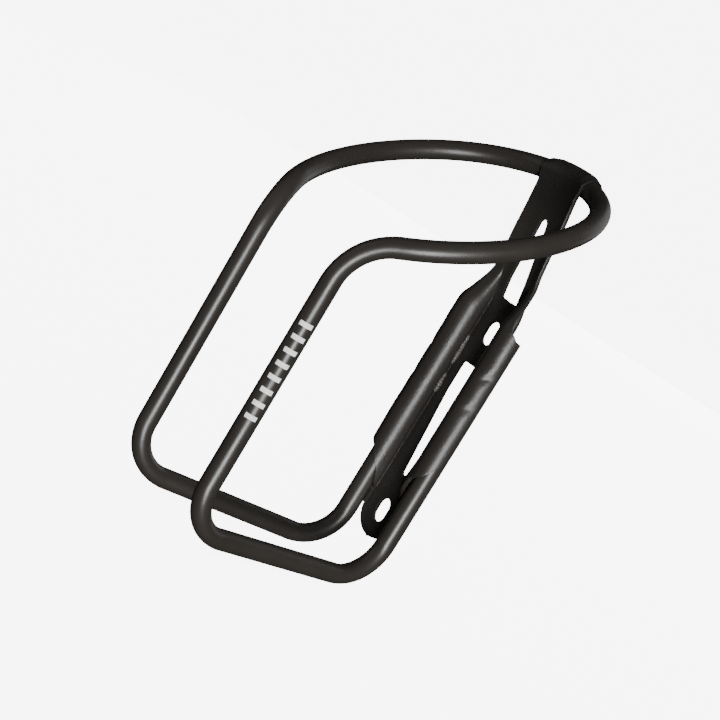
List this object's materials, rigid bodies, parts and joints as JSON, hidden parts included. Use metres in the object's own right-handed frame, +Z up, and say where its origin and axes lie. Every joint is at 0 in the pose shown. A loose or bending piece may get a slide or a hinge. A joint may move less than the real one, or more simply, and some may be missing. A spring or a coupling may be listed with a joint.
{
  "type": "bicycle water bottle cage",
  "caption": "Open holder for a round drinking bottle: one bent metal tube looped round the bottle and crimped into a stamped back plate with slots for frame bolts",
  "frame": {"origin": "Midway between the two bolt slots, on the flat face that meets the bicycle's frame", "axes": "+Z runs up along the bottle, +Y points out of the plate's back into the bicycle's tube, +X is across"},
  "size_m": [0.0888, 0.0829, 0.1455],
  "materials": {
    "tube_coat": "satin black powder coat on aluminium tube",
    "plate_coat": "semi-gloss black coat on stamped aluminium sheet",
    "weld_coat": "rough black coat over short weld beads"
  },
  "bodies": {
    "root": {"bent_tube": "tube_coat", "back_plate": "plate_coat", "left_seam_welds": "weld_coat", "right_seam_welds": "weld_coat"}
  },
  "joints": []
}
